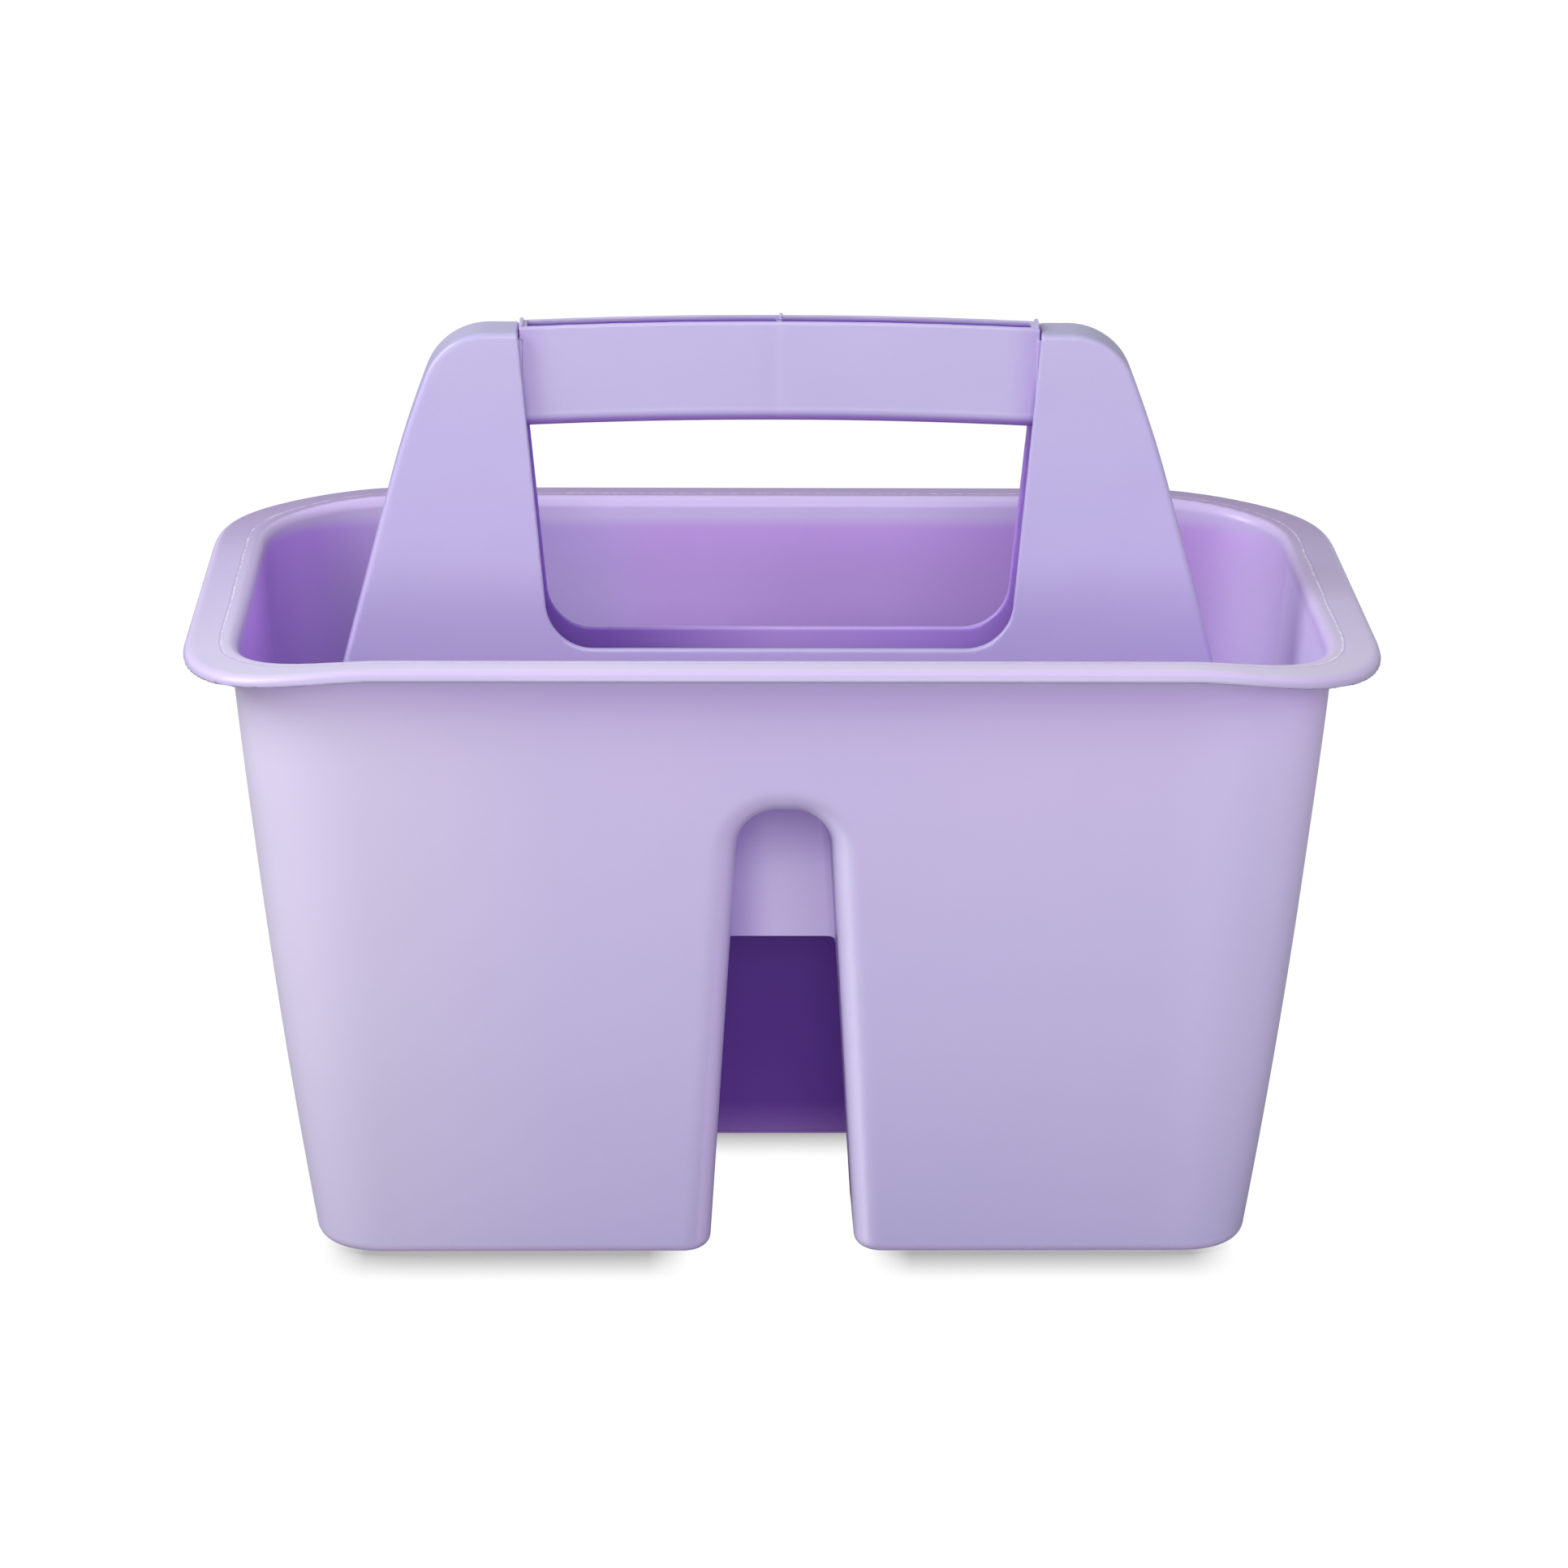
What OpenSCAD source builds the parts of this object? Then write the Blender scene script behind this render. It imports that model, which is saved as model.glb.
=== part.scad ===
// Cleaning caddy: tapered open tub with three bins, a flat rolled rim, a hollow
// spine that is open underneath, and a fixed arched handle with a channel grip.
// Millimetres. +Z up, +X along the long side, front face towards -Y.
// Origin: centre of the resting face under the tub.

/* [Tub] */
// Length of the rim over its flat flange
rim_length = 299.8; // [280:0.1:330]
// Depth of the rim over its flat flange
rim_depth = 176.6; // [165:0.1:200]
// Height of the rim's top face in the middle of each long side
rim_z = 166; // [150:1:185]
// Length of the tub's outer wall at the floor
base_length = 241.6; // [225:0.1:260]
// Depth of the tub's outer wall at the floor
base_depth = 123.4; // [110:0.1:132]
// Corner radius of the outer wall at the floor
base_radius = 19; // [12:1:24]
// Corner radius of the outer wall under the rim
top_radius = 37.5; // [28:0.5:40]
// How far the walls bow outwards at half height
wall_bow = 1.4; // [0:0.1:2]
// Wall thickness
wall = 2; // [1.6:0.1:2.6]
// Floor thickness
floor_thick = 2.2; // [1.8:0.1:3]
// Radius of the rounded edge between the walls and the floor
foot_radius = 3; // [2:0.5:4]

/* [Rim] */
// Width of the flange at both ends, outside the wall
flange_end = 10.3; // [8:0.1:13]
// Width of the flange along the front and the back, outside the wall
flange_side = 9; // [7:0.1:13]
// Corner radius of the flange
flange_radius = 47.6; // [40:0.1:52]
// Corner squareness of the flange (2 is a true arc)
flange_squareness = 2.9; // [2:0.1:3.2]
// Thickness of the flange
flange_thick = 1.8; // [1.4:0.1:2.4]
// Outward roll of the flange's lip
lip_out = 1; // [0.5:0.1:1.5]
// Depth of the rolled lip below the top face
lip_drop = 2.9; // [2.6:0.1:4]
// Radius of the rim's outer top edge
lip_radius = 2.4; // [1:0.1:2.4]
// Inner blend radius from the flange down into the wall
rim_fillet = 2.8; // [1.5:0.1:3.5]
// How far the rim dips at both ends
dip = 3.8; // [0:0.1:5]
// Distance from the middle at which the dip starts
dip_start = 99; // [90:0.1:110]
// Length over which the dip runs out
dip_run = 50.4; // [30:0.2:52]

/* [Spine] */
// Half thickness of the spine at the floor, over its bin faces
spine_foot_half = 23.8; // [20:0.1:28]
// Half thickness of the spine where the handle seats
spine_seat_half = 12.2; // [10:0.1:14]
// Height at which the handle seats on the spine
seat_z = 128; // [110:1:135]
// Height of the tongue that stands up inside the handle
tongue_height = 8; // [5:1:12]
// Thickness of the tongue
tongue_thick = 1.6; // [1.2:0.1:2]
// Gap between the tongue and the handle's skirt
tongue_gap = 0.1; // [0.05:0.01:0.3]

/* [Front notch] */
// Half width of the notch at the floor
notch_foot_half = 18.8; // [15:0.1:22]
// Half width of the notch where its arch starts
notch_arch_half = 12; // [9:0.25:13]
// Height of the arch's crown
notch_z = 123.5; // [100:0.5:127.5]
// Corner radius of the arch
notch_radius = 9; // [5:0.5:10]
// Blend radius from the front wall into the notch
mouth_radius = 7; // [3:0.5:8]
// Height of the lower edge of the wall that closes the notch
closing_wall_z = 71.6; // [50:0.2:90]

/* [Handle] */
// Height of the top of the legs
leg_z = 231.5; // [215:0.5:245]
// Half length of the handle's top edge, before its corners are rounded
leg_top_half = 89.6; // [80:0.1:95]
// Outward slope of the legs' outer edges
leg_slope = 0.271; // [0.2:0.001:0.3]
// Radius of the legs' top corners
leg_radius = 17.5; // [10:0.5:24]
// How far the legs' edges curve in on their way to the top corners
leg_curve = 1.8; // [0:0.1:3]
// Half thickness of the handle at the top of the legs
plate_top_half = 7.3; // [6:0.1:8]
// Height of the hand window's lower edge
window_z = 148.5; // [142:0.5:160]
// Half width of the hand window at the top of the legs
window_half = 67.1; // [60:0.1:72]
// Slope of the window's sides
window_slope = 0.09; // [0.05:0.005:0.12]
// Radius of the window's lower corners
window_radius = 12.5; // [8:0.5:16]

/* [Grip] */
// Height of the grip's crown above the resting face
grip_z = 233.9; // [230:0.1:240]
// Height of the grip's section
grip_height = 26.3; // [22:0.1:30]
// Half thickness of the grip
grip_side = 4.7; // [4:0.1:5.4]
// Wall thickness of the grip's channel
grip_wall = 1.6; // [1.2:0.1:2]
// Radius of the grip's lower edges
grip_radius = 3.4; // [2:0.1:4]
// How far the ends of the grip sit below its crown
grip_sag = 1.6; // [0.8:0.1:3]
// Thickness of the grip's cross web
web_thick = 1.4; // [1:0.1:2]

/* [Hidden] */
lilac = [0.76, 0.71, 0.87];
eps = 0.02;
corner_steps = 8;       // steps in each quarter corner
cut_z = -1;             // start of the cuts below the resting face

// tub
top_length = rim_length - 2 * flange_end;   // outer wall under the rim
top_depth = rim_depth - 2 * flange_side;
wall_squareness = 2.3;
wall_levels = [rim_z * 0.3, rim_z * 0.62, rim_z - 14];
body_top = rim_z - 2.2;                     // outer body ends inside the rim's section
tongue_root = seat_z - 6;

// notch
front_reach = 120;      // how far the notch's cutters run towards the front
notch_start_z = -5;
arch_z = notch_z - notch_radius;
notch_slope = (notch_foot_half - notch_arch_half) / arch_z;
housing_half = 60;      // box that bounds the notch's walls inside the tub
housing_back = 8;       // its distance in front of the middle
housing_rise = 13;      // its height above the crown
mouth_run = 3;          // straight run behind the mouth's blend

// handle
curve_z = 190;          // the legs' edges are straight below this
curve_run = 30;         // height over which they curve in by leg_curve
corner_z = leg_z - leg_radius;
join_z = corner_z + leg_radius * sin(leg_tilt(corner_z + 6));   // corner meets edge
corner_x = leg_at(join_z) - leg_radius * cos(leg_tilt(join_z));
plate_reach = 140;      // half length of the slabs that shape the plates

// grip
grip_half = window_half - 0.4;
crown_radius = grip_half * grip_half / (2 * grip_sag);
grip_floor = grip_wall + 0.6;
grip_end = 2;           // thickness of the channel's end walls
web_drop = 0.8;         // top of the web below the crown
block_length = 4.8;
block_x = grip_half + 1.6;
block_z = grip_z - grip_height - grip_sag + 1;
block_gap = 0.1;
block_reach = 10;       // half depth of the cutters, past the grip's sides

// ---- Lists and outlines ----

function lerp(a, b, t) = a + (b - a) * t;
function smooth(t) = let (u = min(1, max(0, t))) u * u * (3 - 2 * u);
function rev(list) = [for (i = [len(list) - 1:-1:0]) list[i]];
// length along x per unit across an edge that leans by slope
function slant(slope) = sqrt(1 + slope * slope);

// points on an arc about (x, y)
function arc(x, y, radius, from, to, steps) = [for (i = [0:steps])
    let (a = from + (to - from) * i / steps)
    [x + radius * cos(a), y + radius * sin(a)]];
// mirrors the right half of a profile, listed from bottom to top
function both_sides(half) = concat(half, rev([for (q = half) [-q.x, q.y]]));

// one quarter of a rounded rectangle's outline
function corner(half_x, half_y, radius, squareness) = [for (i = [0:corner_steps])
    let (a = 90 * i / corner_steps)
    [half_x - radius + radius * pow(cos(a), 2 / squareness),
     half_y - radius + radius * pow(sin(a), 2 / squareness)]];
// whole outline, anticlockwise
function outline(half_x, half_y, radius, squareness) =
    let (back = both_sides(corner(half_x, half_y, radius, squareness)))
    concat(back, rev([for (q = back) [q.x, -q.y]]));

function dip_at(x) = -dip * smooth((abs(x) - dip_start) / dip_run);
function at_z(points, z) = [for (q = points) [q.x, q.y, z]];
function dipped(points, z) = [for (q = points) [q.x, q.y, z + dip_at(q.x)]];

// ---- Solids from rings of points ----

function flip(faces) = [for (f = faces) rev(f)];
function flat(rings) = [for (r = rings) each r];
// triangles between rings k and l, each of n points
function band(n, k, l) = [for (i = [0:n - 1]) let (j = (i + 1) % n)
    each [[k * n + i, k * n + j, l * n + j],
          [k * n + i, l * n + j, l * n + i]]];
// triangles across a symmetric ring of n points that starts at index first
function cap(n, first) = [for (i = [0:n / 2 - 2])
    each [[first + i, first + n - 1 - i, first + n - 2 - i],
          [first + i, first + n - 2 - i, first + i + 1]]];

// closed solid through a list of rings, bottom ring first
module loft(rings) {
    n = len(rings[0]);
    m = len(rings);
    polyhedron(
        points = flat(rings),
        faces = concat(
            [[for (i = [0:n - 1]) i]],
            [for (k = [0:m - 2]) each flip(band(n, k, k + 1))],
            [[for (i = [n - 1:-1:0]) (m - 1) * n + i]]),
        convexity = 6);
}

// closed tube: rings joined end to end
module ring_loft(rings) {
    m = len(rings);
    polyhedron(
        points = flat(rings),
        faces = [for (k = [0:m - 1]) each band(len(rings[0]), k, (k + 1) % m)],
        convexity = 8);
}

// upright block between two rectangles, each [half length, half depth, z]
module frustum(low, high) {
    polyhedron(
        points = [for (s = [low, high]) each
            [[-s.x, -s.y, s.z], [s.x, -s.y, s.z], [s.x, s.y, s.z], [-s.x, s.y, s.z]]],
        faces = [[0, 1, 2, 3], [7, 6, 5, 4], [4, 5, 1, 0],
                 [5, 6, 2, 1], [6, 7, 3, 2], [7, 4, 0, 3]]);
}

// ---- Shapes shared by the tub and the handle ----

// half length over the legs' outer edges
function leg_at(z) = leg_top_half + leg_slope * (leg_z - z)
    - leg_curve * pow(max(0, z - curve_z) / curve_run, 2);
// lean of the legs' outer edges, in degrees
function leg_tilt(z) = atan(leg_slope
    + leg_curve * 2 * max(0, z - curve_z) / pow(curve_run, 2));
// half thickness of the spine, and of the handle
function spine_at(z) = lerp(spine_foot_half, spine_seat_half, z / seat_z);
function plate_at(z) = lerp(spine_seat_half, plate_top_half, (z - seat_z) / (leg_z - seat_z));
// section between the legs' straight edges, drawn in all round
function section(z, half_depth, inset) =
    [leg_at(z) - inset * slant(leg_slope), half_depth - inset, z];

module spine(z0, z1, inset) {
    frustum(section(z0, spine_at(z0), inset), section(z1, spine_at(z1), inset));
}
module tongue(z0, z1, inset) {
    frustum(section(z0, plate_at(z0), inset), section(z1, plate_at(z1), inset));
}
// slab between the handle's faces, drawn in by inset
module plates(z0, z1, inset) {
    frustum([plate_reach, plate_at(z0) - inset, z0], [plate_reach, plate_at(z1) - inset, z1]);
}

// ---- Tub body ----

// half size of the outer wall at height z
function wall_half(base, top, z) = let (t = z / rim_z)
    lerp(base, top, t) / 2 + 4 * t * (1 - t) * wall_bow;
function wall_at(z, inset) = outline(
    wall_half(base_length, top_length, z) - inset,
    wall_half(base_depth, top_depth, z) - inset,
    max(2, lerp(base_radius, top_radius, z / rim_z) - inset),
    wall_squareness);
// rings from a rounded foot at z0 to the last level below the rim
function wall_rings(z0, inset) = concat(
    [for (a = [0:30:60]) let (z = z0 + foot_radius * (1 - cos(a)))
        at_z(wall_at(z, inset + foot_radius * (1 - sin(a))), z)],
    [for (z = concat([z0 + foot_radius], wall_levels)) at_z(wall_at(z, inset), z)]);

module body_outer() {
    loft(concat(wall_rings(0, 0), [dipped(wall_at(body_top, 0), body_top)]));
}
// room inside the tub, before the spine and the notch are put back
module body_inner() {
    fillet_z = rim_z - rim_fillet;
    loft(concat(
        wall_rings(floor_thick, wall),
        [dipped(wall_at(fillet_z, wall), fillet_z),
         dipped(wall_at(rim_z, wall), rim_z + 3)]));
}

// section of the rim: [outward offset from the wall's outer face, height from rim_z]
rim_section = concat(
    arc(rim_fillet - wall, -rim_fillet, rim_fillet, 180, 90, 4),
    arc(flange_end + lip_out - lip_radius, -lip_radius, lip_radius, 90, 0, 4),
    // lower edge and inner side of the lip
    [[flange_end + lip_out - 0.4, -lip_drop],
     [flange_end - 0.9, -lip_drop],
     [flange_end - 1.3, -flange_thick - 0.15],
     [flange_end - 1.9, -flange_thick]],
    // underside of the flange, blended into the wall
    [[2.2, -flange_thick],
     [0.65, -flange_thick - 0.6],
     [-0.4, -flange_thick - 2.4],
     [-wall, -flange_thick - 2.4]]);
// outline at an offset from the wall: blends from wall corner to flange corner
function rim_ring(offset, z) = let (
    t = min(1, max(0, (offset + wall) / (flange_end + wall))),
    on_flange = min(flange_end, max(0, offset)))
    dipped(outline(
        top_length / 2 + offset,
        top_depth / 2 + offset - on_flange + on_flange * flange_side / flange_end,
        lerp(top_radius - wall, flange_radius, t) + max(0, offset - flange_end),
        lerp(wall_squareness, flange_squareness, t)), rim_z + z);
module rim() {
    ring_loft([for (q = rim_section) rim_ring(q[0], q[1])]);
}

// ---- Front notch ----

// inverted U, grown by growth, with points on its sides at the given heights
function notch_line(growth, levels) = both_sides(concat(
    [for (z = levels)
        [notch_arch_half + notch_slope * (arch_z - z) + growth * slant(notch_slope), z]],
    arc(notch_arch_half - notch_radius, arch_z, notch_radius + growth,
        atan(notch_slope), 90, 8)));

module notch_bar(growth) {
    rotate([90, 0, 0]) linear_extrude(front_reach)
        polygon(notch_line(growth, [notch_start_z]));
}

// notch that follows the front wall: sections are [growth, depth behind the wall's face]
module trumpet(sections) {
    rings = [for (s = sections) [for (q = notch_line(s[0], [notch_start_z, 20, 45, 70, 95]))
        [q.x, -wall_half(base_depth, top_depth, max(0, q.y)) + s[1], q.y]]];
    n = len(rings[0]);
    m = len(rings);
    polyhedron(
        points = flat(rings),
        faces = concat(
            cap(n, 0),
            [for (k = [0:m - 2]) each band(n, k, k + 1)],
            flip(cap(n, (m - 1) * n))),
        convexity = 6);
}
// quarter blend of the given radius, then a straight run
function mouth_blend(radius) = concat(
    [for (a = [15:15:90]) [mouth_radius - radius * sin(a), mouth_radius - radius * cos(a)]],
    [[mouth_radius - radius, mouth_radius + mouth_run]]);
// mouth cut from the front wall, and the wall's own inner face round it
module mouth() {
    trumpet(concat([[mouth_radius + 0.6, -2], [mouth_radius, -eps]],
        mouth_blend(mouth_radius)));
}
module mouth_wall() {
    trumpet(concat([[mouth_radius, -0.5], [mouth_radius, wall]],
        mouth_blend(mouth_radius - wall)));
}

// walls round the notch, inside the tub
module notch_housing() {
    intersection() {
        union() {
            notch_bar(wall);
            mouth_wall();
        }
        translate([-housing_half, -front_reach, cut_z])
            cube([2 * housing_half, front_reach - housing_back,
                  notch_z + housing_rise - cut_z]);
    }
}

// the tub: outer walls, floor, rim, spine, notch, and the tongue for the handle
module tub() {
    tongue_inset = wall + tongue_gap;
    tongue_top = seat_z + tongue_height;
    color(lilac) difference() {
        union() {
            difference() {
                union() {
                    body_outer();
                    rim();
                }
                difference() {
                    body_inner();
                    spine(cut_z, seat_z, 0);
                    notch_housing();
                }
            }
            tongue(tongue_root, tongue_top, tongue_inset);
        }
        // hollow of the spine, open underneath and through both end walls
        spine(cut_z, tongue_root - 2 * eps, wall);
        tongue(tongue_root - 3 * eps, tongue_top + 1, tongue_inset + tongue_thick);
        // front notch; above closing_wall_z the spine's front face closes it
        difference() {
            notch_bar(0);
            spine(closing_wall_z, seat_z + 4, 0);
        }
        mouth();
    }
}

// ---- Handle ----

// front view of the handle from z0 up, drawn in by inset
module handle_2d(inset, z0) {
    polygon(both_sides(concat(
        [[leg_at(z0) - inset * slant(leg_slope), z0]],
        [for (z = [curve_z:6:join_z - 3])
            [leg_at(z) - inset * cos(leg_tilt(z)), z - inset * sin(leg_tilt(z))]],
        arc(corner_x, corner_z, leg_radius - inset, leg_tilt(join_z), 90, 10))));
}
// hand window, open at the top
module window_2d() {
    function window_at(z) = window_half - window_slope * (leg_z - z);
    centre_z = window_z + window_radius;
    centre_x = window_at(centre_z) - window_radius * slant(window_slope);
    top = leg_z + 5;
    polygon(both_sides(concat(
        arc(centre_x, centre_z, window_radius, -90, -atan(window_slope), 10),
        [[window_at(top), top]])));
}
module through_y() {
    rotate([90, 0, 0]) linear_extrude(60, center = true) children();
}
module handle_block(z0, z1, inset) {
    intersection() {
        through_y() handle_2d(inset, z0);
        plates(z0, z1, inset);
    }
}
// the handle: hollow legs, front and back plates and the hand window
module handle_frame() {
    color(lilac) difference() {
        handle_block(seat_z, leg_z + 1, 0);
        handle_block(seat_z - 1, leg_z + 2, wall);
        through_y() window_2d();
    }
}

// ---- Grip ----

// section of the grip at its crown: x is height above the underside, y is across
module grip_outer_2d() {
    flat_half = grip_side - grip_radius;
    translate([grip_radius, -grip_side]) square([grip_height - grip_radius, 2 * grip_side]);
    translate([0, -flat_half]) square([grip_radius + 1, 2 * flat_half]);
    for (side = [-1, 1])
        translate([grip_radius, side * flat_half]) circle(grip_radius, $fn = 48);
}
// sweeps a section along the grip's crown, out to half_length each way
module crowned(half_length) {
    a = asin(half_length / crown_radius);
    translate([0, 0, grip_z - grip_height - crown_radius])
        rotate([90, 0, 0]) rotate([0, 0, 90 - a])
            rotate_extrude(angle = 2 * a, $fn = 720) translate([crown_radius, 0]) children();
}
// block that closes the mouth of one hollow leg
module end_block(side) {
    intersection() {
        translate([side * block_x - block_length / 2, -block_reach, block_z])
            cube([block_length, 2 * block_reach, leg_z - wall - block_gap - block_z]);
        plates(grip_z - grip_height - 4, leg_z + 2, wall + block_gap);
    }
}
// the grip: channel open at the top, closed at both ends and ribbed in the middle
module grip_channel() {
    inner_side = grip_side - grip_wall;
    color(lilac) union() {
        difference() {
            crowned(grip_half) grip_outer_2d();
            difference() {
                crowned(grip_half - grip_end) translate([grip_floor, -inner_side])
                    square([grip_height, 2 * inner_side]);
                translate([-web_thick / 2, -block_reach, 0])
                    cube([web_thick, 2 * block_reach, grip_z - web_drop]);
            }
        }
        for (side = [-1, 1]) end_block(side);
    }
}

tub();
handle_frame();
grip_channel();
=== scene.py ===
"""A two-bin moulded tub with a carrying handle, in satin lilac plastic.

The tub stands on z = 0, long in x, with its front toward -y. A narrow spine, hollow from below,
crosses it along x between the bins, and an arched notch opens the front face. The handle frame
stands on the spine and holds a U-shaped grip channel at the top of its window.

Each piece is a signed distance field in millimetres (negative inside the plastic), meshed on
a grid. Lights, floor and camera are in metres.
"""

import math

import bpy
import numpy as np
from mathutils import Matrix, Vector


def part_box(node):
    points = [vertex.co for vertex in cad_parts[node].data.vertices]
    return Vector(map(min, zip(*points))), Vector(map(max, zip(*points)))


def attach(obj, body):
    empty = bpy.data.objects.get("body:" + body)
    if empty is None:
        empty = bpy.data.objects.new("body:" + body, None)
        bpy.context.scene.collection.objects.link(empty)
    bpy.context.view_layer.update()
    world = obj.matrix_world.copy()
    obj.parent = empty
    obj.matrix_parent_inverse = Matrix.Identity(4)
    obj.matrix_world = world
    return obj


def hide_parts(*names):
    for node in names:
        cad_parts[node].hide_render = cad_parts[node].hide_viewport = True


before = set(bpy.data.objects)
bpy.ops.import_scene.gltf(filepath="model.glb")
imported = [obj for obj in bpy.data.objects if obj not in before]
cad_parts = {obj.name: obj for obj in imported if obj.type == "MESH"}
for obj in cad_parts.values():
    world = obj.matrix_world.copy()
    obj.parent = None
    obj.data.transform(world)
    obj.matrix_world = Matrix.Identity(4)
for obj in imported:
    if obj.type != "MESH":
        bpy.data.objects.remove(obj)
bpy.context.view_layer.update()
COARSE = 1.0     # grid step factor

# ---------------------------------------------------------- dimensions (mm)
MM = 1000.0                              # millimetres in a metre
tub_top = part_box("tub")[1]
handle_lo, handle_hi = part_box("handle_frame")
grip_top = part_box("grip_channel")[1]

THICK = 2.0                              # wall thickness
LEAN, LEAN_Z = 0.0055, 150.0             # sideways lean per mm, and the height it leaves in place

# rim: flat flange with a turned-down lip, dipping toward the ends
RIM_Z = tub_top.z * MM
LIP_REACH, LIP_ROUND, LIP_DROP, LIP_THICK = 1.0, 2.4, 2.9, 1.9
RIM_HALF_X = tub_top.x * MM - LIP_REACH
RIM_HALF_Y = tub_top.y * MM - LIP_REACH
RIM_CORNER, RIM_POWER = 47.6, 2.9        # corner radius and squareness
FLANGE_X, FLANGE_Y = 10.3, 9.0           # flange width at the ends, and front and back
DIP, DIP_X, DIP_RUN = 3.8, 99.0, 50.4

# tub walls
BASE_HALF_X, BASE_HALF_Y, BASE_CORNER = 120.8, 61.7, 19.0
TOP_HALF_X, TOP_HALF_Y, TOP_CORNER = RIM_HALF_X - FLANGE_X, RIM_HALF_Y - FLANGE_Y, 36.5
BOW = 1.45                               # outward bulge at mid height
WALL_SCALE, SPINE_SCALE, PLATE_SCALE = 0.9935, 0.9947, 0.9989   # distance across leaning faces

# spine and handle plates: half depths at the floor, the seat and the handle's top
SEAT_Z = handle_lo.z * MM
TOP_Z = handle_hi.z * MM
SPINE_BASE_Y, SEAT_Y, PLATE_TOP_Y = 23.8, 12.2, 7.3

# handle legs: outer edge, curling inward above CURL_Z
LEG_X, LEG_SLOPE, LEG_ROUND = 89.6, 0.271, 17.5
CURL, CURL_Z, CURL_RUN = 1.8, 190.0, 30
LEG_COS = 1 / math.sqrt(1 + LEG_SLOPE**2)
WINDOW_Z, WINDOW_X, WINDOW_SLOPE, WINDOW_ROUND = 148.5, 67.1, 0.09, 12.5

# notch: half widths at the floor and the shoulders, crown height
NOTCH_BASE, NOTCH_TOP, NOTCH_Z, NOTCH_ROUND = 18.8, 12.0, 124.3, 9.0
NOTCH_SLOPE = (NOTCH_BASE - NOTCH_TOP) / (NOTCH_Z - NOTCH_ROUND)
NOTCH_COS = 1 / math.sqrt(1 + NOTCH_SLOPE**2)
NOTCH_MOUTH = 7.2                        # blend from the outer wall into the openings
END_Z = 71.6                             # lower edge of the wall at the notch's far end

# grip channel
GRIP_Z = grip_top.z * MM
GRIP_HEIGHT, GRIP_HALF_Y, GRIP_THICK, GRIP_SAG = 26.3, 4.7, 1.6, 1.6
GRIP_X = WINDOW_X - 0.4
GRIP_RADIUS = GRIP_X**2 / (2 * GRIP_SAG)
BLOCK_GAP = 0.1                          # clearance of the end blocks in the legs


# ------------------------------------------------------------ field helpers
def lerp(a, b, t):
    return a + (b - a) * t


def smooth(t):
    t = np.clip(t, 0, 1)
    return t * t * (3 - 2 * t)


def rise(value, start, width):
    """0 up to start, then smoothly to 1 over width"""
    return smooth((value - start) / width)


def fall(value, end, width):
    """smoothly from 1 down to 0 at end, over width"""
    return smooth((end - value) / width)


def band(value, half):
    """1 where value is 0, gone at half to either side"""
    return smooth(1 - np.abs(value) / half)


def round_and(a, b, r):
    """intersection of two regions, outer corner rounded to radius r"""
    u = np.maximum(r + a, 0)
    v = np.maximum(r + b, 0)
    return np.minimum(-r, np.maximum(a, b)) + np.sqrt(u * u + v * v)


def round_or(a, b, r):
    """union of two regions, inner corner filled to radius r"""
    return -round_and(-a, -b, r)


def super_box(x, y, half_x, half_y, corner, power):
    """rectangle whose corners are superellipses"""
    over_x = np.abs(x) - (half_x - corner)
    over_y = np.abs(y) - (half_y - corner)
    u = np.maximum(over_x, 0)
    v = np.maximum(over_y, 0)
    m = np.maximum(u, v) + 1e-9
    norm = m * ((u / m) ** power + (v / m) ** power) ** (1 / power)
    return norm + np.minimum(np.maximum(over_x, over_y), 0) - corner


# ---------------------------------------------------------------------- tub
def wall(x, y, z):
    """distance out from the tub's outer wall"""
    t = np.clip(z / RIM_Z, -0.05, 1.02)
    bow = 4 * t * (1 - t) * BOW
    half_x = lerp(BASE_HALF_X, TOP_HALF_X, t) + bow
    half_y = lerp(BASE_HALF_Y, TOP_HALF_Y, t) + bow
    power = 2.35 + 0.30 * rise(z, 105, 50)       # corners grow squarer near the top
    return super_box(x, y, half_x, half_y, lerp(BASE_CORNER, TOP_CORNER, t), power) * WALL_SCALE


def leg_at(z):
    """half length of the handle at height z"""
    return LEG_X + LEG_SLOPE * (TOP_Z - z) - CURL * (np.maximum(0, z - CURL_Z) / CURL_RUN) ** 2


def leg_slope(z):
    return LEG_SLOPE + CURL * 2 * np.maximum(0, z - CURL_Z) / CURL_RUN**2


def leg_side(x, z):
    return (np.abs(x) - leg_at(z)) * LEG_COS


def spine_y(z):
    return SPINE_BASE_Y + (SEAT_Y - SPINE_BASE_Y) * z / SEAT_Z


def plate_y(z):
    return SEAT_Y + (PLATE_TOP_Y - SEAT_Y) * (z - SEAT_Z) / (TOP_Z - SEAT_Z)


def plate_side(y, z):
    return (np.abs(y) - plate_y(z)) * PLATE_SCALE


def spine_hollow(x, y, z):
    side = (np.abs(y) - (spine_y(z) - THICK)) * SPINE_SCALE
    return round_and(side, leg_side(x, z) + THICK, 0.4)


def notch_outline(x, z):
    """arch outline, flat crown with rounded shoulders"""
    half = NOTCH_TOP + NOTCH_SLOPE * (NOTCH_Z - NOTCH_ROUND - z)
    return round_and((np.abs(x) - half) * NOTCH_COS, z - NOTCH_Z, NOTCH_ROUND + 0.6)


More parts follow.
